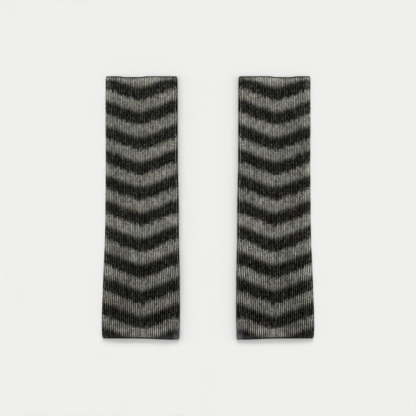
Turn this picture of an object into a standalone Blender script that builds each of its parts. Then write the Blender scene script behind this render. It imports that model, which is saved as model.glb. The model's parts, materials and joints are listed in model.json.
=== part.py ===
"""A pair of ribbed knit leg warmers, laid flat side by side as two mirrored tubes.

The pair rests on a surface at Z = 0 with its length along Y and the tops towards +Y.
X = 0 lies midway between the two, and Y = 0 halfway up the legs. Sizes are in metres.
"""

import math
from typing import NamedTuple

import bmesh
import bpy
from mathutils import Matrix, Vector

# Driving sizes of one leg warmer
LENGTH = 0.4200  # hem to hem, over both bound edges
RIBS_ON_FRONT = 39  # raised wales between the two side folds
RIBS_ROUND_FOLD = 4  # wales that turn round each side fold
WALL_IN_GROOVE = 0.0016
WALL_ON_RIB = 0.0026
BACK_WALL = 0.0021  # the back panel is pressed flat by the weight on it
BACK_STRIPS = 8  # flat strips that make up the underside

# Clear height between the front and back panels, which lie on each other
BODY_SLIT = 0.0010
FOLD_SLIT = 0.0022  # inside the loop that each side fold keeps
MOUTH_SLIT = 0.0032  # in the middle of each mouth, where the front lifts a little
MOUTH_REACH = 0.014  # how far down from a hem that lift dies away
SWELL = 0.0003  # height of the front panel's soft waves
SWELLS_UP = 3.5  # waves from hem to hem
SWELL_SLANT = 0.8

# From the crest of one rib to the next: shoulder, groove and shoulder, as shares of the way.
# A crest lies along the start of each side fold
GROOVE_AT = 0.5
SHOULDERS_AT = (0.22, 0.78)
RIB_PRESSED_FROM = 0.5  # how far a fold has turned under where its ribs start to flatten

# The bound edge is a chain of yarn that closes the stitches all round each mouth
EDGE_RADIUS = 0.00095
EDGE_ROUNDNESS = 1
SEAM_GAP = 0.0003

# The hems aren't quite straight. Shares run from the outer side fold to the inner one
TOP_DIP = 0.0014
TOP_DIP_MIDDLE = 0.37
TOP_DIP_HALF_WIDTH = 0.21
TOP_DIP_FLAT = 0.5  # share of that half width which is level
BACK_DIP_SHARE = 0.9  # the back panel dips a little less, so it shows behind the front one
BOTTOM_RISE = 0.0020
RISE_FADES = (0.46, 0.95)

KNIT_GREY = (0.075, 0.075, 0.068, 1.0)
EDGE_CHARCOAL = (0.012, 0.012, 0.011, 1.0)
YARN_ROUGHNESS = 0.95


class Section(NamedTuple):
    """One cross-section: its height up the leg, and how far each side fold is from X = 0."""

    up: float
    outer: float
    inner: float


# The leg is straight at the calf and flares over the ankle
SECTIONS = (
    Section(up=0.000, outer=0.1682, inner=0.0457),
    Section(up=0.012, outer=0.1699, inner=0.0453),
    Section(up=0.045, outer=0.1692, inner=0.0446),
    Section(up=0.084, outer=0.1677, inner=0.0449),
    Section(up=0.122, outer=0.1662, inner=0.0453),
    Section(up=0.160, outer=0.1644, inner=0.0464),
    Section(up=0.220, outer=0.1637, inner=0.0466),
    Section(up=0.280, outer=0.1632, inner=0.0480),
    Section(up=0.345, outer=0.1636, inner=0.0483),
    Section(up=0.403, outer=0.1634, inner=0.0483),
    Section(up=0.4145, outer=0.1638, inner=0.0485),
    Section(up=LENGTH, outer=0.1632, inner=0.0491),
)


class Station(NamedTuple):
    """A place round the tube: its share of the way across, and which way the wall faces."""

    across: float
    sideways: float
    upwards: float
    on_rib: bool


def smooth_step(low, high, value):
    """0 below low, 1 above high, with a soft change between."""
    share = min(max((value - low) / (high - low), 0.0), 1.0)
    return share * share * (3 - 2 * share)


def wall_at(station):
    """Thickness of the cloth. Its ribs are pressed flat where it turns under the leg."""
    free = WALL_ON_RIB if station.on_rib else WALL_IN_GROOVE
    pressed = smooth_step(RIB_PRESSED_FROM, 1.0, -station.upwards)
    return free + (BACK_WALL - free) * pressed


def slit_at(across, up):
    """Clear height between the two panels."""
    to_fold = abs(2 * across - 1)
    to_hem = min(up, LENGTH - up)
    lift = math.exp(-((to_hem / MOUTH_REACH) ** 2))
    middle = BODY_SLIT + (MOUTH_SLIT - BODY_SLIT) * lift
    wave = math.sin(2 * math.pi * (SWELLS_UP * up / LENGTH + SWELL_SLANT * across))
    swell = SWELL * (1 + wave) * (1 - to_fold**2)
    return middle + swell + (FOLD_SLIT - middle) * to_fold**6


def height_on_y(station, up):
    """Y of a point, with the unevenness of both hems shared out along the leg."""
    front = (1 + station.upwards) / 2
    off_middle = abs(station.across - TOP_DIP_MIDDLE) / TOP_DIP_HALF_WIDTH
    dip = TOP_DIP * (1 - smooth_step(TOP_DIP_FLAT, 1, off_middle))
    dip *= BACK_DIP_SHARE + (1 - BACK_DIP_SHARE) * front
    rise = BOTTOM_RISE * (1 - smooth_step(*RISE_FADES, station.across))
    return -LENGTH / 2 + rise + up / LENGTH * (LENGTH - dip - rise)


def wall_point(station, section, depth):
    """A point of the cloth, at this depth out from its inside face."""
    slit = slit_at(station.across, section.up)
    fold_radius = FOLD_SLIT / 2 + WALL_ON_RIB
    outer_middle = section.outer - fold_radius
    inner_middle = section.inner + fold_radius
    reach = outer_middle + station.across * (inner_middle - outer_middle)
    reach += (slit / 2 + depth) * station.sideways
    z = BACK_WALL + slit * (1 + station.upwards) / 2 + depth * station.upwards
    return Vector((-reach, height_on_y(station, section.up), z))


def rib_shares():
    """The places across one strip in order, and whether each is up on a rib."""
    first, last = SHOULDERS_AT
    return ((first, True), (GROOVE_AT, False), (last, True))


def front_strips():
    """The front panel, from the outer fold to the inner one, in strips from rib to rib."""
    strips = []
    for rib in range(RIBS_ON_FRONT):
        acrosses = [((rib + share) / RIBS_ON_FRONT, on_rib) for share, on_rib in rib_shares()]
        strips.append([Station(across, 0, 1, on_rib) for across, on_rib in acrosses])
    return strips


def fold_strips(across, start_angle, turn):
    """A side fold, which turns through half a circle, in strips from rib to rib."""
    strips = []
    for rib in range(RIBS_ROUND_FOLD):
        strip = []
        for share, on_rib in rib_shares():
            angle = start_angle + turn * (rib + share) / RIBS_ROUND_FOLD
            strip.append(Station(across, math.cos(angle), math.sin(angle), on_rib))
        strips.append(strip)
    return strips


def back_strips():
    """The plain strips of the underside, from the inner fold back to the outer one."""
    shares = (1 - strip / BACK_STRIPS for strip in range(BACK_STRIPS + 1))
    return [[Station(share, 0, -1, on_rib=False)] for share in shares]


def strips_round():
    """All the strips round the tube in order, each a list of its stations."""
    inner_fold = fold_strips(across=1, start_angle=math.pi / 2, turn=math.pi)
    outer_fold = fold_strips(across=0, start_angle=-math.pi / 2, turn=math.pi)
    return front_strips() + inner_fold + back_strips() + outer_fold


def tube_sections():
    """The sections of the knit tube, which stops short of the bound edge at each end."""
    margin = 2 * EDGE_RADIUS + SEAM_GAP
    bottom, *middle, top = SECTIONS
    return (
        bottom._replace(up=bottom.up + margin),
        *middle,
        top._replace(up=top.up - margin),
    )


def bridge(bm, lower, upper):
    """Quads between two closed rings of the same count."""
    for i, vert in enumerate(lower):
        after = (i + 1) % len(lower)
        bm.faces.new((vert, lower[after], upper[after], upper[i]))


def close_end(bm, strips, outer_ring, inner_ring):
    """The cut face of the wall, one polygon for each strip, from outside to inside."""
    start = 0
    for i, strip in enumerate(strips):
        stop = start + len(strip)
        outside = [outer_ring[k % len(outer_ring)] for k in range(start, stop + 1)]
        after = (i + 1) % len(inner_ring)
        bm.faces.new((*outside, inner_ring[after], inner_ring[i]))
        start = stop


def knit_tube(name):
    """The leg's wall: ribs in its outer points, a plain inside and a flat underside."""
    bm = bmesh.new()
    strips = strips_round()
    outer_rings = []
    inner_rings = []
    for section in tube_sections():
        outside = [wall_point(s, section, wall_at(s)) for strip in strips for s in strip]
        inside = [wall_point(strip[0], section, 0) for strip in strips]
        outer_rings.append([bm.verts.new(point) for point in outside])
        inner_rings.append([bm.verts.new(point) for point in inside])
    for rings in (outer_rings, inner_rings):
        for lower, upper in zip(rings, rings[1:]):
            bridge(bm, lower, upper)
    for end in (0, -1):
        close_end(bm, strips, outer_rings[end], inner_rings[end])
    bmesh.ops.recalc_face_normals(bm, faces=bm.faces)
    mesh = bpy.data.meshes.new(name)
    bm.to_mesh(mesh)
    bm.free()
    return bpy.data.objects.new(name, mesh)


def bound_edge(name, section, shift):
    """The yarn that binds a mouth: a round bead along the middle of the wall's thickness."""
    curve = bpy.data.curves.new(name, "CURVE")
    curve.dimensions = "3D"
    curve.bevel_depth = EDGE_RADIUS
    curve.bevel_resolution = EDGE_ROUNDNESS
    path = []
    for strip in strips_round():
        front = (1 + strip[0].upwards) / 2
        wall = BACK_WALL + (WALL_ON_RIB - BACK_WALL) * front
        path.append(wall_point(strip[0], section, wall / 2) + Vector((0, shift, 0)))
    spline = curve.splines.new("POLY")
    spline.points.add(len(path) - 1)
    for knot, point in zip(spline.points, path):
        knot.co = (*point, 1.0)
    spline.use_cyclic_u = True
    return bpy.data.objects.new(name, curve)


def mirrored(source, name):
    """The same piece for the other leg, reflected in the plane X = 0."""
    graph = bpy.context.evaluated_depsgraph_get()
    mesh = bpy.data.meshes.new_from_object(source.evaluated_get(graph))
    mesh.name = name
    mesh.transform(Matrix.Scale(-1, 4, (1, 0, 0)))
    mesh.flip_normals()
    return bpy.data.objects.new(name, mesh)


def yarn_material(name, colour):
    """Matt wool, of this colour."""
    material = bpy.data.materials.new(name)
    material.use_nodes = True
    shader = material.node_tree.nodes["Principled BSDF"]
    shader.inputs["Base Color"].default_value = colour
    shader.inputs["Roughness"].default_value = YARN_ROUGHNESS
    shader.inputs["Metallic"].default_value = 0.0
    return material


for existing in list(bpy.data.objects):
    bpy.data.objects.remove(existing)
pair = bpy.data.collections.new("leg_warmers")
bpy.context.scene.collection.children.link(pair)

ribbed_knit = yarn_material("ribbed_knit", KNIT_GREY)
edge_yarn = yarn_material("edge_yarn", EDGE_CHARCOAL)
left_pieces = (
    (knit_tube("left_tube"), ribbed_knit),
    (bound_edge("left_top_edge", SECTIONS[-1], -EDGE_RADIUS), edge_yarn),
    (bound_edge("left_bottom_edge", SECTIONS[0], EDGE_RADIUS), edge_yarn),
)
for piece, material in left_pieces:
    piece.data.materials.append(material)
    pair.objects.link(piece)
bpy.context.view_layer.update()
for piece, _ in left_pieces:
    pair.objects.link(mirrored(piece, piece.name.replace("left", "right")))
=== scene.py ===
"""The looks of a pair of ribbed knit leg warmers, laid flat side by side.

Sizes are in metres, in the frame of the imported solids: the surface is Z = 0, the legs run
along Y with their tops towards +Y, and X = 0 is midway between the two leg warmers.
"""

import json
from typing import NamedTuple

import bpy
import numpy as np
from mathutils import Matrix, Vector

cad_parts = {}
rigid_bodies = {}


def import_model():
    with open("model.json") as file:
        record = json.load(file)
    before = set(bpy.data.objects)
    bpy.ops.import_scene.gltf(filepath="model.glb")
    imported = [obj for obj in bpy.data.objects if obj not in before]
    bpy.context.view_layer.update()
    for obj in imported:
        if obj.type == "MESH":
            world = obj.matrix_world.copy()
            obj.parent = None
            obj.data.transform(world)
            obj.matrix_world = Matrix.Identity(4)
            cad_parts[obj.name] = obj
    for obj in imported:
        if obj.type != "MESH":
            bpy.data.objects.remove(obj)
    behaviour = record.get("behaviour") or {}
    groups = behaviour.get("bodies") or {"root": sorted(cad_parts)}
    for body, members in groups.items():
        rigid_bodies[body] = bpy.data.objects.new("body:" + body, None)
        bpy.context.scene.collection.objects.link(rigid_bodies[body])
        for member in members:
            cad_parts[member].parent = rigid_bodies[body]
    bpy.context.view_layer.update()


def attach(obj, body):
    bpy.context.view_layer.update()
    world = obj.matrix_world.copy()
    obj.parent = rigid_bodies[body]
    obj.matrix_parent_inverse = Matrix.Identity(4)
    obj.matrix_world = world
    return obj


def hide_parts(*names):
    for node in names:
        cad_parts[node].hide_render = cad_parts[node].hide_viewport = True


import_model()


# The knitted tubes
# Each leg warmer is one tube of thick wool-mix rib, knitted in the round with no seam.
# It lies flat, so its front and back panels rest on each other and meet at two soft folds.

LENGTH = 0.420  # hem to hem, over both bound edges
RIBS_ON_PANEL = 39
RIBS_ROUND_FOLD = 4
RIBS = 2 * (RIBS_ON_PANEL + RIBS_ROUND_FOLD)
COURSES = 168  # rows of stitches from hem to hem

# Places across a rib, in wales from its spine: the spine, where the two legs of each stitch
# meet, the middle of a leg, and the groove. The cloth's depth is out from its plain inside
SPINE_AT = 0.0
LEG_AT = 0.25
GROOVE_AT = 0.5
SPINE_DEPTH = 0.00232
LEG_DEPTH = 0.00255
GROOVE_DEPTH = 0.00135
BACK_DEPTH = 0.0021
BACK_GROOVE_DEPTH = 0.0016
PRESSED_FROM = 0.5  # how far a fold has turned under where its ribs start to flatten

# Clear height between the panels
BODY_SLIT = 0.0010
FOLD_SLIT = 0.0022
FOLD_SLIT_TIGHTNESS = 6  # the power by which the fold's loop draws in from the middle
MOUTH_SLIT = 0.0032
MOUTH_REACH = 0.014
SWELL = 0.0003
SWELLS_UP = 3.5
SWELL_SLANT = 0.8

# The stitches: how far the legs of each V rise, in courses, and how plump they are
STITCH_LEAN = 0.8
STITCH_BULGE = 0.00016
STITCH_UNEVENNESS = 0.00005
HEM_SETTLE = 1.5  # courses over which the Vs level out at a hem

# Ribs aren't drawn with a ruler. Each sway has its courses per radian up the leg, and its
# radians from fold to fold
RIB_WANDER = 0.00010
SWAYS = ((9, 17), (23, -29))
SWAY_STOPS_AT_FOLD = 4  # the power by which the sways die away towards the folds

# The hems dip and rise a little. Shares run from the outer fold to the inner one
TOP_DIP = 0.0014
TOP_DIP_MIDDLE = 0.37
TOP_DIP_HALF_WIDTH = 0.21
TOP_DIP_FLAT = 0.5
BACK_DIP_SHARE = 0.9
BOTTOM_RISE = 0.0020
RISE_FADES = (0.46, 0.95)

EDGE_RADIUS = 0.00095
HEM_MARGIN = 2 * EDGE_RADIUS + 0.0003  # the tube stops this far short of each end
OUTLINE_SOFTNESS = 0.012
OUTLINE_SAMPLES = (-1, -0.5, 0, 0.5, 1)  # shares of that softness, which are averaged

# Points of the mesh
ROWS_PER_COURSE = 2
POINTS_PER_RIB = 4
POINTS_PER_BACK_RIB = 2
INSIDE_STEP = 6  # ribs between the points of the plain inside
INSIDE_FOLD_MARGIN = 2  # ribs beside each fold where every rib has its point


class Section(NamedTuple):
    """A height up the leg, and how far each side fold is from X = 0 there."""

    up: float
    outer: float
    inner: float


SECTIONS = (
    Section(up=0.000, outer=0.1682, inner=0.0457),
    Section(up=0.012, outer=0.1699, inner=0.0453),
    Section(up=0.045, outer=0.1692, inner=0.0446),
    Section(up=0.084, outer=0.1677, inner=0.0449),
    Section(up=0.122, outer=0.1662, inner=0.0453),
    Section(up=0.160, outer=0.1644, inner=0.0464),
    Section(up=0.220, outer=0.1637, inner=0.0466),
    Section(up=0.280, outer=0.1632, inner=0.0480),
    Section(up=0.345, outer=0.1636, inner=0.0483),
    Section(up=0.403, outer=0.1634, inner=0.0483),
    Section(up=0.4145, outer=0.1638, inner=0.0485),
    Section(up=LENGTH, outer=0.1632, inner=0.0491),
)


class Turn(NamedTuple):
    """A height up the leg, and how many ribs have turned round each side fold there."""

    up: float
    outer: float
    inner: float


# The ribs run straighter than the leg does, and lie wider apart over the ankle
TURNS = (
    Turn(up=0.018, outer=0.50, inner=2.03),
    Turn(up=0.040, outer=0.62, inner=1.68),
    Turn(up=0.085, outer=0.87, inner=1.16),
    Turn(up=0.125, outer=1.08, inner=0.38),
    Turn(up=0.160, outer=0.86, inner=0.13),
    Turn(up=0.240, outer=0.77, inner=0.15),
    Turn(up=0.285, outer=0.68, inner=0.08),
    Turn(up=0.330, outer=0.38, inner=-0.10),
    Turn(up=0.355, outer=0.38, inner=-0.02),
    Turn(up=0.400, outer=-0.20, inner=-0.05),
)


def smooth_step(low, high, value):
    """0 below low, 1 above high, with a soft change between."""
    share = np.clip((value - low) / (high - low), 0, 1)
    return share * share * (3 - 2 * share)


def fold_reach(up, column):
    """How far a side fold is from X = 0, with the table's corners rounded off."""
    softness = np.minimum(OUTLINE_SOFTNESS, np.minimum(up, LENGTH - up))
    heights = [section.up for section in SECTIONS]
    reaches = [getattr(section, column) for section in SECTIONS]
    tries = [np.interp(up + step * softness, heights, reaches) for step in OUTLINE_SAMPLES]
    return np.mean(tries, axis=0)


def station(wale, up):
    """Share of the way across, and the angle that the wall faces, for a wale at a height.

    Wales are counted over the front from the outer fold, round the inner fold, and back.
    A whole number is the spine of a rib, and a half is the groove beside it.
    """
    front, fold = RIBS_ON_PANEL, RIBS_ROUND_FOLD
    marks = (0, front, front + fold, 2 * front + fold, RIBS)
    heights = [turn.up for turn in TURNS]
    outer = np.interp(up, heights, [turn.outer for turn in TURNS])
    inner = np.interp(up, heights, [turn.inner for turn in TURNS])
    turned = outer + (inner - outer) * np.interp(wale, marks, (0, 1, 1, 0, 0))
    lies_at = (wale + turned) % RIBS
    across = np.interp(lies_at, marks, (0, 1, 1, 0, 0))
    facing = np.interp(lies_at, marks, (0.5, 0.5, 1.5, 1.5, 2.5)) * np.pi
    return across, facing


def place(wale, up, depth):
    """Points of the left leg's cloth, this deep out from its inside face."""
    across, facing = station(wale, up)
    sideways, upwards = np.cos(facing), np.sin(facing)
    to_fold = abs(2 * across - 1)
    lift = np.exp(-((np.minimum(up, LENGTH - up) / MOUTH_REACH) ** 2))
    middle = BODY_SLIT + (MOUTH_SLIT - BODY_SLIT) * lift
    wave = np.sin(2 * np.pi * (SWELLS_UP * up / LENGTH + SWELL_SLANT * across))
    swell = SWELL * (1 + wave) * (1 - to_fold**2)
    slit = middle + swell + (FOLD_SLIT - middle) * to_fold**FOLD_SLIT_TIGHTNESS

    fold_radius = FOLD_SLIT / 2 + LEG_DEPTH
    outer = fold_reach(up, "outer") - fold_radius
    inner = fold_reach(up, "inner") + fold_radius
    reach = outer + across * (inner - outer) + (slit / 2 + depth) * sideways

    off_middle = abs(across - TOP_DIP_MIDDLE) / TOP_DIP_HALF_WIDTH
    dip = TOP_DIP * (1 - smooth_step(TOP_DIP_FLAT, 1, off_middle))
    dip = dip * (BACK_DIP_SHARE + (1 - BACK_DIP_SHARE) * (1 + upwards) / 2)
    rise = BOTTOM_RISE * (1 - smooth_step(*RISE_FADES, across))
    y = -LENGTH / 2 + rise + up / LENGTH * (LENGTH - dip - rise)
    z = BACK_DEPTH + slit * (1 + upwards) / 2 + depth * upwards
    return np.stack(np.broadcast_arrays(-reach, y, z), axis=-1)


def height_up_leg(course):
    """Height over the bottom end for a course number."""
    return HEM_MARGIN + course / COURSES * (LENGTH - 2 * HEM_MARGIN)


def rib_depth(wale, up):
    """Depth of the cloth over a wale, before its stitches, and how free it is of the floor."""
    off_spine = abs((wale + 0.5) % 1 - 0.5)
    places, depths = (SPINE_AT, LEG_AT, GROOVE_AT), (SPINE_DEPTH, LEG_DEPTH, GROOVE_DEPTH)
    free = np.interp(off_spine, places, depths)
    flat = np.interp(off_spine, (SPINE_AT, GROOVE_AT), (BACK_DEPTH, BACK_GROOVE_DEPTH))
    _, facing = station(wale, up)
    pressed = smooth_step(PRESSED_FROM, 1, -np.sin(facing))
    return free + (flat - free) * pressed, 1 - pressed


def outside_wales():
    """The wales that have points outside: four for a rib, and two for one under the leg."""
    fine = np.arange(POINTS_PER_RIB) / POINTS_PER_RIB
    coarse = np.arange(POINTS_PER_BACK_RIB) / POINTS_PER_BACK_RIB
    back = range(RIBS_ON_PANEL + RIBS_ROUND_FOLD, RIBS - RIBS_ROUND_FOLD)
    return np.concatenate([rib + (coarse if rib in back else fine) for rib in range(RIBS)])


def inside_wales():
    """The wales that have points inside: every rib by the folds, and few between."""
    front, fold, margin = RIBS_ON_PANEL, RIBS_ROUND_FOLD, INSIDE_FOLD_MARGIN
    near_inner_fold = range(front - margin, front + fold + 1)
    near_outer_fold = range(2 * front + fold - margin, RIBS)
    ribs = {*near_inner_fold, *near_outer_fold, *range(0, RIBS, INSIDE_STEP)}
    return np.array(sorted(ribs), dtype=float)


def stitched_points(rows, wales, rng):
    """The outside's points, with its rows of V stitches, and the course that each is on."""
    free_of_hem = smooth_step(0, HEM_SETTLE, np.minimum(rows, COURSES - rows))
    up_the_v = abs(2 * ((wales + 0.5) % 1) - 1)
    courses = rows + STITCH_LEAN * up_the_v * free_of_hem
    up = height_up_leg(courses)
    depth, loft = rib_depth(wales, up)
    mid_stitch, in_groove = rows % 1 == 0.5, wales % 1 == GROOVE_AT
    plump = np.where(mid_stitch, 1, -1) * STITCH_BULGE * np.where(in_groove, 0, 1)
    rough = rng.normal(size=(3, len(rows), len(wales))) * STITCH_UNEVENNESS * free_of_hem * loft
    points = place(wales, up, depth + (plump + rough[2]) * loft)
    across, _ = station(wales, up)
    sways = sum(np.sin(rows / slow + turns * across) for slow, turns in SWAYS)
    steady = 1 - abs(2 * across - 1) ** SWAY_STOPS_AT_FOLD
    points[..., 0] += rough[0] + RIB_WANDER * sways * steady
    points[..., 1] += rough[1]
    return points, courses


def grid_faces(rings, columns, first):
    """Quads of a tube's wall as rows of four vertex numbers, from this first vertex."""
    ring = np.arange(rings - 1)[:, None] * columns
    here = np.arange(columns)[None, :]
    after = (here + 1) % columns
    corners = (ring + here, ring + after, ring + columns + after, ring + columns + here)
    return first + np.stack(np.broadcast_arrays(*corners), axis=-1).reshape(-1, 4)


def grid_corners(around, up):
    """The two map values at each corner of the same quads, for a count that ends at RIBS."""
    left, right = around, np.append(around[1:], RIBS)
    sides = np.stack([left, right, right, left], axis=-1)
    turned = np.roll(up, -1, axis=1)
    heights = np.stack([up[:-1], turned[:-1], turned[1:], up[1:]], axis=-1)
    return np.stack(np.broadcast_arrays(sides, heights), axis=-1).reshape(-1, 4, 2)


def hem_faces(outer, inner, ring, first_inside):
    """Faces of the wall at a hem, each with its corners' wales and 1 outside or 0 inside."""
    starts = [*np.searchsorted(outer, inner), len(outer)]
    outer_marks, inner_marks = np.append(outer, RIBS), np.append(inner, RIBS)
    for i in range(len(inner)):
        span = range(starts[i], starts[i + 1] + 1)
        after = (i + 1) % len(inner)
        face = [ring * len(outer) + k % len(outer) for k in span]
        face += [first_inside + ring * len(inner) + k for k in (after, i)]
        corners = [(outer_marks[k], 1.0) for k in span]
        corners += [(inner_marks[i + 1], 0.0), (inner_marks[i], 0.0)]
        yield face, np.array(corners)


class Spread(NamedTuple):
    """The rectangle of the flat map that one part of a tube is spread over."""

    left: float
    bottom: float
    right: float
    top: float


OUTSIDE_SPREAD = Spread(left=0.004, bottom=0.020, right=0.744, top=0.980)
INSIDE_SPREAD = Spread(left=0.752, bottom=0.020, right=0.996, top=0.980)
BOTTOM_HEM_SPREAD = Spread(left=0.004, bottom=0.003, right=0.996, top=0.015)
TOP_HEM_SPREAD = Spread(left=0.004, bottom=0.985, right=0.996, top=0.997)


def spread_over(corners, spread, top_value):
    """Map values of a grid, moved into their rectangle."""
    share = corners / (RIBS, top_value)
    low = np.array([spread.left, spread.bottom])
    high = np.array([spread.right, spread.top])
    return low + share * (high - low)


def knit_mesh(name, seed=7):
    """The left tube: stitched ribs outside, a plain inside, and a closed wall at each hem."""
    rows = np.arange(ROWS_PER_COURSE * COURSES + 1)[:, None] / ROWS_PER_COURSE
    outer, inner = outside_wales(), inside_wales()
    even_outer = np.broadcast_to(rows, (len(rows), len(outer)))
    even_inner = np.broadcast_to(rows, (len(rows), len(inner)))
    outside, courses = stitched_points(rows, outer, np.random.default_rng(seed))
    inside = place(inner, height_up_leg(even_inner), 0)
    first_inside = len(rows) * len(outer)

    faces = grid_faces(len(rows), len(outer), 0).tolist()
    faces += grid_faces(len(rows), len(inner), first_inside)[:, ::-1].tolist()
    inside_corners = grid_corners(inner, even_inner)[:, ::-1]
    knit_maps = [grid_corners(outer, courses), inside_corners]
    spreads = [
        spread_over(grid_corners(outer, even_outer), OUTSIDE_SPREAD, COURSES),
        spread_over(inside_corners, INSIDE_SPREAD, COURSES),
    ]
    for ring, order, hem in ((0, -1, BOTTOM_HEM_SPREAD), (len(rows) - 1, 1, TOP_HEM_SPREAD)):
        for face, corners in hem_faces(outer, inner, ring, first_inside):
            faces.append(face[::order])
            heights = np.full(len(face), rows[ring, 0])
            knit_maps.append(np.stack([corners[::order, 0], heights], axis=-1))
            spreads.append(spread_over(corners[::order], hem, 1.0))

    mesh = bpy.data.meshes.new(name)
    points = np.concatenate([outside.reshape(-1, 3), inside.reshape(-1, 3)])
    mesh.from_pydata(points.tolist(), [], faces)
    for layer_name, maps in (("Knit", knit_maps), ("OFBake", spreads)):
        corners = np.concatenate([corners.reshape(-1, 2) for corners in maps])
        layer = mesh.uv_layers.new(name=layer_name)
        layer.uv.foreach_set("vector", corners.astype(np.float32).ravel())
    mesh.shade_smooth()
    return mesh


def mirrored(mesh, name):
    """The same mesh for the right leg."""
    copy = mesh.copy()
    copy.name = name
    copy.transform(Matrix.Scale(-1, 4, (1, 0, 0)))
    copy.flip_normals()
    return copy


def add_piece(name, mesh, material, node):
    """Puts a mesh in the scene in place of its plain solid."""
    piece = bpy.data.objects.new(name, mesh)
    bpy.context.scene.collection.objects.link(piece)
    mesh.materials.clear()
    mesh.materials.append(material)
    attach(piece, "root")
    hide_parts(node)
    return piece


# Small helpers that keep the node trees readable
def add_node(tree, kind, inputs, **settings):
    """A node with its settings, and its inputs linked or set."""
    made = tree.nodes.new(kind)
    for setting, value in settings.items():
        setattr(made, setting, value)
    for socket, value in inputs.items():
        if isinstance(value, bpy.types.NodeSocket):
            tree.links.new(value, made.inputs[socket])
        else:
            made.inputs[socket].default_value = value
    return made


def maths(tree, operation, *values):
    """The result of a Math node."""
    node = add_node(tree, "ShaderNodeMath", dict(enumerate(values)), operation=operation)
    return node.outputs[0]


def remap(tree, value, low, high, to_low=0.0, to_high=1.0, kind="LINEAR"):
    """A value moved from one range to another, and held at its ends."""
    inputs = {"Value": value, "From Min": low, "From Max": high, "To Min": to_low, "To Max": to_high}
    return add_node(tree, "ShaderNodeMapRange", inputs, interpolation_type=kind).outputs[0]


def mix_values(tree, share, first, second):
    """Two numbers mixed by a share."""
    inputs = {0: share, 2: first, 3: second}
    return add_node(tree, "ShaderNodeMix", inputs, data_type="FLOAT").outputs[0]


def mix_colours(tree, share, first, second, blend="MIX"):
    """Two colours mixed by a share."""
    inputs = {0: share, 6: first, 7: second}
    return add_node(tree, "ShaderNodeMix", inputs, data_type="RGBA", blend_type=blend).outputs[2]


def times(tree, colour, gain):
    """A colour made lighter or darker by one number."""
    gains = add_node(tree, "ShaderNodeCombineXYZ", {0: gain, 1: gain, 2: gain}).outputs[0]
    return mix_colours(tree, 1.0, colour, gains, "MULTIPLY")


def noise(tree, place_at, scale, detail):
    """The value and the colour of a Noise node."""
    inputs = {"Vector": place_at, "Scale": scale, "Detail": detail}
    return add_node(tree, "ShaderNodeTexNoise", inputs).outputs


def place_on_object(tree):
    """Where the point is in the object's own space."""
    return add_node(tree, "ShaderNodeTexCoord", {}).outputs["Object"]


def new_group(name, inputs, outputs):
    """An empty shader group with named sockets, and its two ends."""
    tree = bpy.data.node_groups.new(name, "ShaderNodeTree")
    for direction, sockets in (("INPUT", inputs), ("OUTPUT", outputs)):
        for socket, kind in sockets.items():
            tree.interface.new_socket(socket, in_out=direction, socket_type=kind)
    return tree, tree.nodes.new("NodeGroupInput"), tree.nodes.new("NodeGroupOutput")


def new_material(name, finish):
    """A material with these values on its shader, its node tree and that shader."""
    material = bpy.data.materials.new(name)
    material.use_nodes = True
    shader = material.node_tree.nodes["Principled BSDF"]
    for socket, value in finish.items():
        shader.inputs[socket].default_value = value
    return material, material.node_tree, shader


# The stripes of the yarn: chevrons that point down the middle of the leg. Pairs of values
# are for the bottom of the leg and for its top, unless their line says otherwise. Reaches
# are from X = 0, and heights are on Y
HALF_LENGTH = LENGTH / 2
STRIPE_PERIOD = 0.04065
TOP_STRIPE_AT = 0.1938  # height of the first dark stripe's upper edge, at the point of its V
STRIPE_DRIFT = 0.0016  # the stripes aren't quite evenly spaced
STRIPE_DRIFT_LENGTH = 0.361
STRIPE_DRIFT_FROM = 0.1031
DARK_SHARE = (0.477, 0.503)  # of the period
POINT_REACH = (0.1050, 0.1100)  # of the chevron's point
POINT_ROUNDING = 0.0100
STRIPE_SLOPE = (0.460, 0.442)  # on the inner and the outer side of the point
FOLD_DROOP = 0.0018  # how far the stripes droop at the inner fold
FOLD_DROOP_FROM = (0.060, 0.051)  # reaches
RAGGEDNESS = 0.0018
WHOLE_WALE = 3.7  # stands for the course in the noise that a whole wale shares
# Pairs for the upper and the lower edge of a dark stripe: half the breadth of the change
# from pale to dark, of the period, and how much more dark fibres tell than pale ones there
EDGE_SOFTNESS = (0.160, 0.112)
DARK_WEIGHT = (1.95, 1.40)
# The first courses under the top edge are nearly all pale, and the first stripe hangs lower
# than its place in the row, with its outer end faded. The last stripe lies higher
PALE_TOP = (0.0034, 0.0100)  # below the top edge
PALE_TOP_DARK = 0.12  # how much of the dark yarn tells there
TOP_SAG = 0.0009
TOP_SAG_FROM = (0.168, 0.186)
FADED_END = (0.148, 0.160)  # reaches
FADED_BELOW_TOP = (0.012, 0.024)
FADED_SHARE = 0.34
BOTTOM_RAISE = 0.0022
BOTTOM_RAISE_FROM = (-0.184, -0.196)
BOTTOM_RAISE_FADES = (0.138, 0.162)  # reaches


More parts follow.
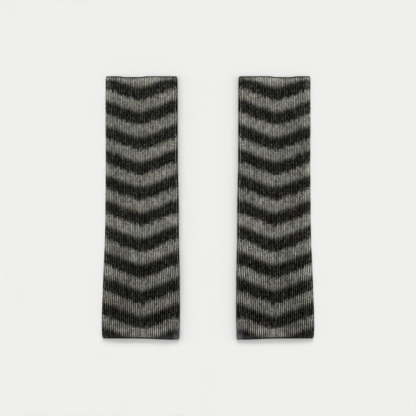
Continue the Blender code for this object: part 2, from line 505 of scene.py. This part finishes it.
def chevron_group():
    """Share of dark yarn at a point: 0 in the pale stripes and 1 in the dark ones."""
    tree, given, result = new_group(
        "Chevron stripes",
        {"Stitch": "NodeSocketVector", "Lift": "NodeSocketFloat"},
        {"Dark yarn": "NodeSocketFloat"},
    )
    parts = add_node(tree, "ShaderNodeSeparateXYZ", {0: place_on_object(tree)}).outputs
    x, y = parts[0], parts[1]

    # The V across the leg, with a rounded point, and its droop at the inner fold
    point = remap(tree, y, -HALF_LENGTH, HALF_LENGTH, *POINT_REACH)
    reach = maths(tree, "ABSOLUTE", x)
    away = maths(tree, "SUBTRACT", reach, point)
    square = maths(tree, "MULTIPLY_ADD", away, away, POINT_ROUNDING**2)
    rounded = maths(tree, "SUBTRACT", maths(tree, "SQRT", square), POINT_ROUNDING)
    slope = mix_values(tree, maths(tree, "GREATER_THAN", away, 0.0), *STRIPE_SLOPE)
    droop = remap(tree, reach, *FOLD_DROOP_FROM, 0.0, -FOLD_DROOP, "SMOOTHSTEP")
    bend = maths(tree, "MULTIPLY_ADD", rounded, slope, droop)
    turn = maths(tree, "SUBTRACT", STRIPE_DRIFT_FROM, y)
    turn = maths(tree, "MULTIPLY", turn, 2 * np.pi / STRIPE_DRIFT_LENGTH)
    drift = maths(tree, "MULTIPLY", maths(tree, "SINE", turn), STRIPE_DRIFT)

    # Each wale and each stitch changes its yarn a little early or late
    wale = add_node(tree, "ShaderNodeSeparateXYZ", {0: given.outputs["Stitch"]}).outputs[0]
    chances = []
    whole_wale = add_node(tree, "ShaderNodeCombineXYZ", {0: wale, 1: WHOLE_WALE}).outputs[0]
    for cell in (whole_wale, given.outputs["Stitch"]):
        dice = add_node(tree, "ShaderNodeTexWhiteNoise", {"Vector": cell}, noise_dimensions="2D")
        chances.append(dice.outputs["Value"])
    chance = maths(tree, "SUBTRACT", maths(tree, "ADD", *chances), 1.0)
    ragged = maths(tree, "MULTIPLY", chance, RAGGEDNESS)

    # How far down the row of stripes the point is, in periods
    sag = remap(tree, y, *TOP_SAG_FROM, 0.0, TOP_SAG, "SMOOTHSTEP")
    raised = remap(tree, y, *BOTTOM_RAISE_FROM, 0.0, BOTTOM_RAISE, "SMOOTHSTEP")
    fading = remap(tree, reach, *BOTTOM_RAISE_FADES, 1.0, 0.0)
    sag = maths(tree, "SUBTRACT", sag, maths(tree, "MULTIPLY", raised, fading))
    level = maths(tree, "ADD", maths(tree, "ADD", y, sag), given.outputs["Lift"])
    level = maths(tree, "SUBTRACT", level, bend)
    level = maths(tree, "SUBTRACT", level, maths(tree, "ADD", drift, ragged))
    down = maths(tree, "DIVIDE", maths(tree, "SUBTRACT", TOP_STRIPE_AT, level), STRIPE_PERIOD)
    half_dark = remap(
        tree, y, -HALF_LENGTH, HALF_LENGTH, *(share / 2 for share in DARK_SHARE)
    )
    phase = maths(tree, "FRACT", maths(tree, "ADD", maths(tree, "SUBTRACT", down, half_dark), 0.5))

    # The soft edges of a dark stripe, and the places where its dark yarn tells less
    off_centre = maths(tree, "ABSOLUTE", maths(tree, "SUBTRACT", phase, 0.5))
    lower = maths(tree, "GREATER_THAN", phase, 0.5)
    softness = mix_values(tree, lower, *EDGE_SOFTNESS)
    weight = mix_values(tree, lower, *DARK_WEIGHT)
    first = maths(tree, "SUBTRACT", half_dark, softness)
    last = maths(tree, "ADD", half_dark, softness)
    dark = remap(tree, off_centre, first, last, 1.0, 0.0, "SMOOTHSTEP")
    below_top = maths(tree, "SUBTRACT", HALF_LENGTH, y)
    under_edge = remap(tree, below_top, *PALE_TOP, PALE_TOP_DARK, 1.0, "SMOOTHSTEP")
    faded = remap(tree, reach, *FADED_END, 0.0, FADED_SHARE, "SMOOTHSTEP")
    faded_down = remap(tree, below_top, *FADED_BELOW_TOP, 1.0, 0.0, "SMOOTHSTEP")
    faded = maths(tree, "MULTIPLY", faded, faded_down)
    under_edge = maths(tree, "MULTIPLY", under_edge, maths(tree, "SUBTRACT", 1.0, faded))
    pale = maths(tree, "SUBTRACT", 1.0, maths(tree, "MULTIPLY", dark, under_edge))
    mixed = maths(tree, "SUBTRACT", 1.0, maths(tree, "POWER", pale, weight))
    tree.links.new(mixed, result.inputs["Dark yarn"])
    return tree


# Spun wool: short fibres along the yarn, flecked where dyed fibres are blended
WARM_TINT = (1.05, 1.0, 0.96, 1.0)
COOL_TINT = (0.97, 1.0, 1.01, 1.0)
TINT_NOISE = (0.35, 0.65)  # the noise's values where the wool is wholly cool and wholly warm
TINT_SCALE = 90.0
CLOUD_SCALE = 35.0
FIBRE_STRETCH = (1.0, 0.35, 1.0)
NOISE_MIDDLE = 0.5


def wool_group():
    """The fine grain of a wool yarn, which flecks its colour and roughens its surface."""
    tree, given, result = new_group(
        "Wool fibres",
        {"Colour": "NodeSocketColor", "Fleck": "NodeSocketFloat", "Fineness": "NodeSocketFloat"},
        {"Colour": "NodeSocketColor", "Height": "NodeSocketFloat"},
    )
    spot = place_on_object(tree)
    stretch = {"Vector": spot, "Scale": FIBRE_STRETCH}
    stretched = add_node(tree, "ShaderNodeMapping", stretch).outputs[0]
    fine = noise(tree, stretched, given.outputs["Fineness"], 3.0)[0]
    blend = noise(tree, spot, TINT_SCALE, 4.0)[0]
    cloud = noise(tree, spot, CLOUD_SCALE, 2.0)[0]
    grain = maths(tree, "SUBTRACT", fine, NOISE_MIDDLE)
    grain = maths(tree, "MULTIPLY", grain, given.outputs["Fleck"])
    gain = maths(tree, "ADD", maths(tree, "ADD", grain, cloud), 1.0 - NOISE_MIDDLE)
    flecked = times(tree, given.outputs["Colour"], gain)
    tint = mix_colours(tree, remap(tree, blend, *TINT_NOISE), COOL_TINT, WARM_TINT)
    tree.links.new(mix_colours(tree, 1.0, flecked, tint, "MULTIPLY"), result.inputs["Colour"])
    tree.links.new(fine, result.inputs["Height"])
    return tree


# Places where the wool is lighter, darker and felted: paler in the middle of both ends and
# over the ankle, a painted highlight along the outer fold where light catches it, painted
# shade beside that fold, and felted smooth and grey at the corners of the bottom hem and a
# little along it. Reaches are from X = 0, heights are on Y, and each pair of them gives
# where a change starts and where it ends
END_MIDDLE = 0.106  # reach
END_HALF_WIDTH = (0.024, 0.052)
TOP_BAND = (0.008, 0.020)  # below the top edge
TOP_BAND_GAIN = 0.50
BOTTOM_BAND = (-0.186, -0.196)
BOTTOM_BAND_GAIN = 0.30
OPEN_BELOW = (-0.020, -0.120)  # the leg is stretched there, and its grooves are wider
ANKLE_FROM = (-0.025, -0.090)  # and so is its pale yarn brighter
ANKLE_TO = (-0.105, -0.175)
ANKLE_GAIN = 0.26
# Painted shade: the pale yarn is darker on the outer side of the leg
OUTER_SIDE = (0.110, 0.132)
OUTER_SIDE_SHADE = 0.14  # of the pale yarn's lightness
# Painted highlight along the outer fold, where light catches it, on the pale and the dark yarn alike
OUTER_FOLD = (0.147, 0.166)
OUTER_FOLD_HIGHLIGHT = (0.28, 0.58)  # at the bottom hem, and from a little above it
OUTER_FOLD_HEIGHTS = (-0.190, -0.140)
DARK_HIGHLIGHT_HEIGHTS = (-0.080, -0.030)  # above there, the dark yarn has a painted highlight along the outer fold
DARK_HIGHLIGHT_SHARE = 0.030

FELTED_FROM = (0.0585, 0.0535)  # the patch by the inner fold
FELTED_BELOW = (-0.1865, -0.1915)
FELTED_SHARE = 0.86
FELTED_OUTER_FROM = (0.159, 0.165)  # the fainter one by the outer fold
FELTED_OUTER_BELOW = (-0.193, -0.199)
FELTED_OUTER_SHARE = 0.42
FELTED_HEM_FROM = (0.100, 0.062)
FELTED_HEM_BELOW = (-0.2005, -0.2045)
FELTED_HEM_SHARE = (0.12, 0.35)  # from the outer fold to the middle, and by the inner fold
FELT_STRAY = 0.006  # how far the edges of the felt wander
FELT_CLOUD_SCALE = 260.0
FELT_DARK = (0.042, 0.042, 0.044, 1.0)
FELT_PALE = (0.200, 0.199, 0.202, 1.0)
FELT_DARKEST_AT = -0.1975
FELT_PALER = (0.001, 0.011)  # above and below its darkest height
FELT_PALER_FROM = (0.056, 0.046)
FELT_PALER_SHARE = (0.35, 1.0)
FELT_RIM = (0.0495, 0.0470)  # the rubbed rim of the inner fold
FELT_RIM_SHARE = 0.6


def wear_and_light_group():
    """How much lighter or darker the wool is in a place, with painted light and shade by the outer
    fold, and where it is felted.
    """
    tree, _, result = new_group(
        "Worn places",
        {},
        {
            "Gain": "NodeSocketFloat",
            "Pale gain": "NodeSocketFloat",
            "Rubbed": "NodeSocketFloat",
            "Open": "NodeSocketFloat",
            "Felted": "NodeSocketFloat",
            "Felt": "NodeSocketColor",
        },
    )
    spot = place_on_object(tree)
    parts = add_node(tree, "ShaderNodeSeparateXYZ", {0: spot}).outputs
    reach, y = maths(tree, "ABSOLUTE", parts[0]), parts[1]

    def soft(value, ends, low=0.0, high=1.0):
        return remap(tree, value, *ends, low, high, "SMOOTHSTEP")

    def both(first, second):
        return maths(tree, "MULTIPLY", first, second)

    # Gain: paler bands at the middle of both ends, times the painted highlight along the outer fold
    below_top = maths(tree, "SUBTRACT", HALF_LENGTH, y)
    top_band = soft(below_top, TOP_BAND, TOP_BAND_GAIN, 0.0)
    bands = maths(tree, "ADD", top_band, soft(y, BOTTOM_BAND, 0.0, BOTTOM_BAND_GAIN))
    off_middle = maths(tree, "ABSOLUTE", maths(tree, "SUBTRACT", reach, END_MIDDLE))
    mid_end = soft(off_middle, END_HALF_WIDTH, 1.0, 0.0)
    by_outer_fold = soft(reach, OUTER_FOLD)
    fold_gain = soft(y, OUTER_FOLD_HEIGHTS, *OUTER_FOLD_HIGHLIGHT)
    gain = both(
        maths(tree, "MULTIPLY_ADD", bands, mid_end, 1.0),
        maths(tree, "MULTIPLY_ADD", by_outer_fold, fold_gain, 1.0),
    )
    tree.links.new(gain, result.inputs["Gain"])
    # The pale yarn brighter over the ankle, less the painted shade on the outer side
    ankle = both(soft(y, ANKLE_FROM, 0.0, ANKLE_GAIN), soft(y, ANKLE_TO, 1.0, 0.0))
    pale_gain = maths(tree, "SUBTRACT", ankle, soft(reach, OUTER_SIDE, 0.0, OUTER_SIDE_SHADE))
    tree.links.new(pale_gain, result.inputs["Pale gain"])
    # Painted highlight on the dark yarn along the upper part of the outer fold
    dark_highlight = both(by_outer_fold, soft(y, DARK_HIGHLIGHT_HEIGHTS, 0.0, DARK_HIGHLIGHT_SHARE))
    tree.links.new(dark_highlight, result.inputs["Rubbed"])
    tree.links.new(soft(y, OPEN_BELOW), result.inputs["Open"])

    # The felt, with edges that wander
    cloud = noise(tree, spot, FELT_CLOUD_SCALE, 3.0)["Color"]
    clouds = add_node(tree, "ShaderNodeSeparateColor", {0: cloud}).outputs
    strays = [maths(tree, "MULTIPLY_ADD", one, FELT_STRAY, -FELT_STRAY / 2) for one in clouds[:2]]
    reach = maths(tree, "ADD", reach, strays[0])
    y = maths(tree, "ADD", y, strays[1])
    inner = both(soft(reach, FELTED_FROM, 0.0, FELTED_SHARE), soft(y, FELTED_BELOW))
    outer = both(soft(reach, FELTED_OUTER_FROM, 0.0, FELTED_OUTER_SHARE), soft(y, FELTED_OUTER_BELOW))
    hem = both(soft(y, FELTED_HEM_BELOW), soft(reach, FELTED_HEM_FROM, *FELTED_HEM_SHARE))
    felted = maths(tree, "MAXIMUM", maths(tree, "ADD", inner, outer), hem)
    tree.links.new(felted, result.inputs["Felted"])
    off_darkest = maths(tree, "ABSOLUTE", maths(tree, "SUBTRACT", y, FELT_DARKEST_AT))
    pale = both(soft(off_darkest, FELT_PALER), soft(reach, FELT_PALER_FROM, *FELT_PALER_SHARE))
    pale = maths(tree, "MAXIMUM", pale, soft(reach, FELT_RIM, 0.0, FELT_RIM_SHARE))
    tree.links.new(mix_colours(tree, pale, FELT_DARK, FELT_PALE), result.inputs["Felt"])
    return tree


# The rib itself. Gains and shades multiply the yarn's colour
PALE_YARN = (0.317, 0.313, 0.279, 1.0)
DARK_YARN = (0.0079, 0.0080, 0.0074, 1.0)
SPECKLE = (0.62, 1.34)  # from the darkest stitch to the palest
STREAK = (0.58, 1.39)  # the same along a whole wale
STREAK_LENGTH = 6  # courses
STREAK_NOISE = (0.2, 0.8)  # the noise's values for the two
LEAST_SHADE = 0.05
DARK_CONTRAST = 0.7  # how much livelier dark stitches are than pale ones
PALE_FIBRES_AND_CREST_HIGHLIGHT = (0.05, 0.42)  # the least and the most pale on the crest of a dark rib, from pale fibres and a painted highlight
MOST_CAUGHT = 0.8  # the noise's value for the most
CREST = (0.08, 0.42)  # where they thin out and end, of half a rib from its spine
FOLD_LINE = float(RIBS_ON_PANEL)  # the wale that stands up pale along the inner fold
ON_FOLD_LINE = 0.5  # wales from it that are still part of it
BY_FOLD_LINE = 1.5  # wales from it that are paler too
FOLD_LINE_SHARE = 0.30
FOLD_GAIN = (0.42, 0.28)  # how much paler the pale yarn of all these is, above and below
SPINE_WIDTH = 0.2  # of half a rib
SPINE_SHADE = 0.85
STITCH_END_FROM = 0.55  # of half a stitch
STITCH_END_SHADE = 0.62
GROOVE_FROM = (0.05, 0.40)  # where ribs start to fall into shade, of half a rib
GROOVE_NOISE = (0.3, 0.7)
GROOVE_SHADE = 0.02
OPENING = 0.21  # how much of half a rib the widest grooves take up besides
FOLD_OPENING = 0.16  # the same beside the line of the inner fold
FELT_EVENNESS = 0.95  # how far the felt hides the ribs
KNIT_FLECK = 0.9
KNIT_FINENESS = 2600.0
FIBRE_HEIGHT = 0.35  # of a stitch's
KNIT_BUMP = {"Strength": 0.7, "Distance": 0.0003}
WOOL_FINISH = {"Specular IOR Level": 0.02, "Sheen Weight": 0.01, "Sheen Roughness": 0.6}
KNIT_FINISH = {"Roughness": 1.0, **WOOL_FINISH}

# Runs of noise that differ from wale to wale
LANE_STEP = 13.7
STREAK_LANE = 0.0
GROOVE_LANE = 4.1
FIBRE_LANE = 8.3

chevrons = chevron_group()
wool = wool_group()
wear_and_light = wear_and_light_group()


def run_noise(tree, lane, row, first_lane):
    """Soft noise that runs up along one wale or groove, and is another one in the next."""
    across = maths(tree, "MULTIPLY_ADD", lane, LANE_STEP, first_lane)
    up = maths(tree, "DIVIDE", row, STREAK_LENGTH)
    spot = add_node(tree, "ShaderNodeCombineXYZ", {0: across, 1: up}).outputs[0]
    return noise(tree, spot, 1.0, 2.0)[0]


def knit_material():
    """Two shades of wool rib: pale and dark stitches in chevrons, darker down in the grooves."""
    material, tree, shader = new_material("ribbed_knit_wool", KNIT_FINISH)

    # Which wale and stitch the point is on, and where on them
    knit = add_node(tree, "ShaderNodeUVMap", {}, uv_map="Knit").outputs[0]
    wale_course = add_node(tree, "ShaderNodeSeparateXYZ", {0: knit}).outputs
    from_groove = maths(tree, "ADD", wale_course[0], GROOVE_AT)
    half_turn = maths(tree, "MULTIPLY_ADD", maths(tree, "FRACT", from_groove), 2.0, -1.0)
    off_spine = maths(tree, "ABSOLUTE", half_turn)
    row = maths(tree, "SUBTRACT", wale_course[1], maths(tree, "MULTIPLY", off_spine, STITCH_LEAN))
    along = maths(tree, "FRACT", row)
    wale = maths(tree, "MODULO", maths(tree, "FLOOR", from_groove), float(RIBS))
    groove = maths(tree, "FLOOR", wale_course[0])
    cell = {0: wale, 1: maths(tree, "FLOOR", row)}
    stitch = add_node(tree, "ShaderNodeCombineXYZ", cell).outputs[0]
    lift = maths(tree, "MULTIPLY", maths(tree, "SUBTRACT", 0.5, along), LENGTH / COURSES)
    striped = {"Stitch": stitch, "Lift": lift}
    stripes = add_node(tree, "ShaderNodeGroup", striped, node_tree=chevrons)
    dark_yarn = stripes.outputs["Dark yarn"]
    places = add_node(tree, "ShaderNodeGroup", {}, node_tree=wear_and_light).outputs

    # Each stitch has its own shade, and so has each stretch of a wale
    chance = add_node(tree, "ShaderNodeTexWhiteNoise", {"Vector": stitch}, noise_dimensions="2D")
    speckle = remap(tree, chance.outputs["Value"], 0.0, 1.0, *SPECKLE)
    streak = remap(tree, run_noise(tree, wale, row, STREAK_LANE), *STREAK_NOISE, *STREAK)
    lively = maths(tree, "MULTIPLY_ADD", dark_yarn, DARK_CONTRAST, 1.0)
    shade = maths(tree, "SUBTRACT", maths(tree, "ADD", speckle, streak), 1.0)
    shade = maths(tree, "MAXIMUM", shade, LEAST_SHADE)
    shade = maths(tree, "POWER", shade, lively)
    # Paler and darker places, among them the painted highlight along the outer fold and the painted
    # shade beside it
    shade = maths(tree, "MULTIPLY", shade, places["Gain"])
    by_fold = maths(tree, "COMPARE", wale, FOLD_LINE, BY_FOLD_LINE)
    fold_gain = mix_values(tree, places["Open"], *FOLD_GAIN)
    pale_gain = maths(tree, "MULTIPLY_ADD", by_fold, fold_gain, places["Pale gain"])
    pale_share = maths(tree, "SUBTRACT", 1.0, dark_yarn)
    pale_gain = maths(tree, "MULTIPLY_ADD", pale_gain, pale_share, 1.0)
    shade = maths(tree, "MULTIPLY", shade, pale_gain)

    # Pale fibres and a painted highlight lie on the crests of the dark ribs; the line of the inner
    # fold is paler still, and along the upper outer fold the dark yarn has a painted highlight
    fibre_chance = add_node(tree, "ShaderNodeSeparateColor", {0: chance.outputs["Color"]}).outputs[1]
    crest_fibres_and_highlight = maths(tree, "MULTIPLY", fibre_chance, run_noise(tree, wale, row, FIBRE_LANE))
    crest_fibres_and_highlight = remap(tree, crest_fibres_and_highlight, 0.0, MOST_CAUGHT, *PALE_FIBRES_AND_CREST_HIGHLIGHT)
    on_crest = remap(tree, off_spine, *CREST, 1.0, 0.0, "SMOOTHSTEP")
    fibres_and_highlights = maths(tree, "MULTIPLY", crest_fibres_and_highlight, on_crest)
    on_fold = maths(tree, "COMPARE", wale, FOLD_LINE, ON_FOLD_LINE)
    fibres_and_highlights = maths(tree, "MULTIPLY_ADD", on_fold, FOLD_LINE_SHARE, fibres_and_highlights)
    fibres_and_highlights = maths(tree, "ADD", fibres_and_highlights, places["Rubbed"])
    dark_share = maths(tree, "MULTIPLY", dark_yarn, maths(tree, "SUBTRACT", 1.0, fibres_and_highlights))
    yarn = times(tree, mix_colours(tree, dark_share, PALE_YARN, DARK_YARN), shade)
    yarn = mix_colours(tree, places["Felted"], yarn, places["Felt"])
    spun = {"Colour": yarn, "Fleck": KNIT_FLECK, "Fineness": KNIT_FINENESS}
    fibres = add_node(tree, "ShaderNodeGroup", spun, node_tree=wool).outputs

    # Shade where the fibres lie deep: in the grooves, between the stitches and in their Vs
    crown = maths(tree, "ABSOLUTE", maths(tree, "MULTIPLY_ADD", along, 2.0, -1.0))
    crown = remap(tree, crown, STITCH_END_FROM, 1.0, 1.0, STITCH_END_SHADE, "SMOOTHSTEP")
    spine = remap(tree, off_spine, 0.0, SPINE_WIDTH, SPINE_SHADE, 1.0, "SMOOTHSTEP")
    groove_noise = run_noise(tree, groove, row, GROOVE_LANE)
    groove_from = remap(tree, groove_noise, *GROOVE_NOISE, *GROOVE_FROM)
    fold_opening = maths(tree, "MULTIPLY", by_fold, FOLD_OPENING)
    opening = mix_values(tree, places["Open"], fold_opening, OPENING)
    groove_from = maths(tree, "SUBTRACT", groove_from, opening)
    groove_to = maths(tree, "SUBTRACT", 1.0, opening)
    out_of_groove = remap(
        tree, off_spine, groove_from, groove_to, 1.0, GROOVE_SHADE, "SMOOTHSTEP"
    )
    leg = maths(tree, "MULTIPLY", maths(tree, "MULTIPLY", crown, spine), out_of_groove)
    matted = maths(tree, "MULTIPLY", places["Felted"], FELT_EVENNESS)
    leg = mix_values(tree, matted, leg, 1.0)
    tree.links.new(times(tree, fibres["Colour"], leg), shader.inputs["Base Color"])
    height = maths(tree, "MULTIPLY_ADD", fibres["Height"], FIBRE_HEIGHT, leg)
    bump = add_node(tree, "ShaderNodeBump", {"Height": height, **KNIT_BUMP})
    tree.links.new(bump.outputs[0], shader.inputs["Normal"])
    return material


ribbed_knit = knit_material()
left_mesh = knit_mesh("left_tube_knit")
left_tube = add_piece("left_tube_knit", left_mesh, ribbed_knit, "left_tube")
right_mesh = mirrored(left_mesh, "right_tube_knit")
right_tube = add_piece("right_tube_knit", right_mesh, ribbed_knit, "right_tube")


# The bound edges
# The last row at each mouth is chained off with one strand of the dark yarn, so that a
# plump little chain runs right round the opening and pulls the corners of the folds in.
# Its near black also stands for painted shade, where shade falls into the mouth.

LINK_STEPS = 6  # rings of points in each link, of which there is one for each rib
STRAND_SIDES = 12
LINK_LEAN = 0.35  # how far each link leans forward on both its sides, of its length
LINK_ENDS = 0.80  # thickness between two links, of the edge's
LINK_PLUMPNESS = 0.22  # what the middle of a link adds to that
# The chain's colour: the dark yarn, and painted shade falling into the mouth
EDGE_YARN_AND_SHADE = (0.014, 0.014, 0.0132, 1.0)
EDGE_FLECK = 1.2
EDGE_FINENESS = 3200.0
EDGE_BUMP = {"Strength": 0.6, "Distance": 0.0002}
EDGE_FINISH = {"Roughness": 0.95, **WOOL_FINISH}


def chain_mesh(name, end_up, shift):
    """A chain of links round a mouth, thick in the middle of each link and leaning in a V."""
    wales = np.arange(RIBS * LINK_STEPS) / LINK_STEPS
    _, facing = station(wales, end_up)
    front = (1 + np.sin(facing)) / 2
    wall = BACK_DEPTH + (LEG_DEPTH - BACK_DEPTH) * front
    path = place(wales, end_up, wall / 2) + np.array([0, shift, 0])
    along = np.roll(path, -1, axis=0) - np.roll(path, 1, axis=0)
    along[:, 1] = 0
    along /= np.linalg.norm(along, axis=1, keepdims=True)
    leg = np.array([0.0, 1.0, 0.0])
    outward = np.cross(leg, along)
    turn = np.arange(STRAND_SIDES) / STRAND_SIDES * 2 * np.pi
    link = np.sin(np.pi * ((wales[:, None] + LINK_LEAN * abs(np.cos(turn))) % 1))
    radius = EDGE_RADIUS * (LINK_ENDS + LINK_PLUMPNESS * link)
    ring = np.cos(turn)[None, :, None] * leg + np.sin(turn)[None, :, None] * outward[:, None, :]
    points = path[:, None, :] + radius[..., None] * ring
    points[..., 2] = np.maximum(points[..., 2], 0.0)
    faces = grid_faces(len(wales) + 1, STRAND_SIDES, 0) % (len(wales) * STRAND_SIDES)
    mesh = bpy.data.meshes.new(name)
    mesh.from_pydata(points.reshape(-1, 3).tolist(), [], faces.tolist())
    mesh.shade_smooth()
    return mesh


def edge_material():
    """Dark wool, partly painted shade at the mouth, with the tube's grain, greyer where the tube is
    felted.
    """
    material, tree, shader = new_material("edge_chain_wool", EDGE_FINISH)
    spun = {"Colour": EDGE_YARN_AND_SHADE, "Fleck": EDGE_FLECK, "Fineness": EDGE_FINENESS}
    fibres = add_node(tree, "ShaderNodeGroup", spun, node_tree=wool).outputs
    places = add_node(tree, "ShaderNodeGroup", {}, node_tree=wear_and_light).outputs
    colour = mix_colours(tree, places["Felted"], fibres["Colour"], places["Felt"])
    tree.links.new(colour, shader.inputs["Base Color"])
    bump = add_node(tree, "ShaderNodeBump", {"Height": fibres["Height"], **EDGE_BUMP})
    tree.links.new(bump.outputs[0], shader.inputs["Normal"])
    return material


edge_wool_and_shade = edge_material()
edges = {"left": [], "right": []}
for end, end_up, shift in (("top", LENGTH, -EDGE_RADIUS), ("bottom", 0.0, EDGE_RADIUS)):
    left_chain = chain_mesh(f"left_{end}_chain", end_up, shift)
    for side, mesh in (("left", left_chain), ("right", mirrored(left_chain, f"right_{end}_chain"))):
        chain = add_piece(f"{side}_{end}_chain", mesh, edge_wool_and_shade, f"{side}_{end}_edge")
        edges[side].append(chain)


# The surface and the light
# The pair lies on a plain pale paper, seen from straight above in soft light from overhead
# and from beyond its tops. Each half of the paper has its own low light besides, on its
# outer side, so that each leg warmer's shadow falls towards the middle.

SHEET_SIZE = 6.0
PAPER_FINISH = {
    "Base Color": (0.80, 0.80, 0.79, 1.0),
    "Roughness": 0.9,
    "Specular IOR Level": 0.0,
}
SKY_COLOUR = (1.0, 1.0, 0.99, 1.0)
SKY_STRENGTH = 0.25


class Light(NamedTuple):
    """Even light from far away: where from, its strength, and its width in radians."""

    comes_from: Vector
    strength: float
    width: float


OVERHEAD = Light(comes_from=Vector((0.0, 0.0, 1.0)), strength=0.92, width=0.9)
BEYOND_TOPS = Light(comes_from=Vector((0.0, 1.2, 1.0)), strength=1.58, width=0.40)
RIGHT_SIDE = Light(comes_from=Vector((1.15, 0.10, 0.70)), strength=1.30, width=0.9)

paper, _, _ = new_material("pale_paper", PAPER_FINISH)


def add_light(name, light):
    """Puts a light in the scene."""
    sun = bpy.data.lights.new(name, "SUN")
    sun.energy = light.strength
    sun.angle = light.width
    lamp = bpy.data.objects.new(name, sun)
    lamp.rotation_euler = light.comes_from.to_track_quat("Z", "Y").to_euler()
    bpy.context.scene.collection.objects.link(lamp)
    return lamp


def light_half(side, sign):
    """Half of the paper, and the low light that falls on it and on the leg warmer there."""
    half = SHEET_SIZE / 2
    corners = [(0, -half, 0), (sign * half, -half, 0), (sign * half, half, 0), (0, half, 0)]
    mesh = bpy.data.meshes.new(f"{side}_sheet")
    mesh.from_pydata(corners, [], [(0, 1, 2, 3)[::sign]])
    mesh.materials.append(paper)
    sheet = bpy.data.objects.new(f"{side}_sheet", mesh)
    bpy.context.scene.collection.objects.link(sheet)

    x, y, z = RIGHT_SIDE.comes_from
    lamp = add_light(f"{side}_light", RIGHT_SIDE._replace(comes_from=Vector((sign * x, y, z))))
    lit = bpy.data.collections.new(f"lit_from_the_{side}")
    for piece in bpy.context.scene.objects:
        if piece.type == "MESH" and piece.name.startswith(side):
            lit.objects.link(piece)
    lamp.light_linking.receiver_collection = lit


add_light("overhead_light", OVERHEAD)
add_light("light_beyond_the_tops", BEYOND_TOPS)
light_half("left", -1)
light_half("right", 1)
world = bpy.data.worlds.new("studio")
bpy.context.scene.world = world
world.use_nodes = True
sky = world.node_tree.nodes["Background"]
sky.inputs["Color"].default_value = SKY_COLOUR
sky.inputs["Strength"].default_value = SKY_STRENGTH


# The camera
# It looks straight down on the pair, from high enough that the legs aren't seen from their
# ends, and its frame is as wide as the photo's is at the height of the cloth.

CAMERA_HEIGHT = 2.2
FRAME_WIDTH = 0.6633
CLOTH_HEIGHT = 0.004
camera = bpy.data.cameras.new("camera")
camera.lens = camera.sensor_width * (CAMERA_HEIGHT - CLOTH_HEIGHT) / FRAME_WIDTH
viewer = bpy.data.objects.new("camera", camera)
viewer.location = (0.0, 0.0, CAMERA_HEIGHT)
bpy.context.scene.collection.objects.link(viewer)
bpy.context.scene.camera = viewer
bpy.context.scene.view_settings.view_transform = "Standard"
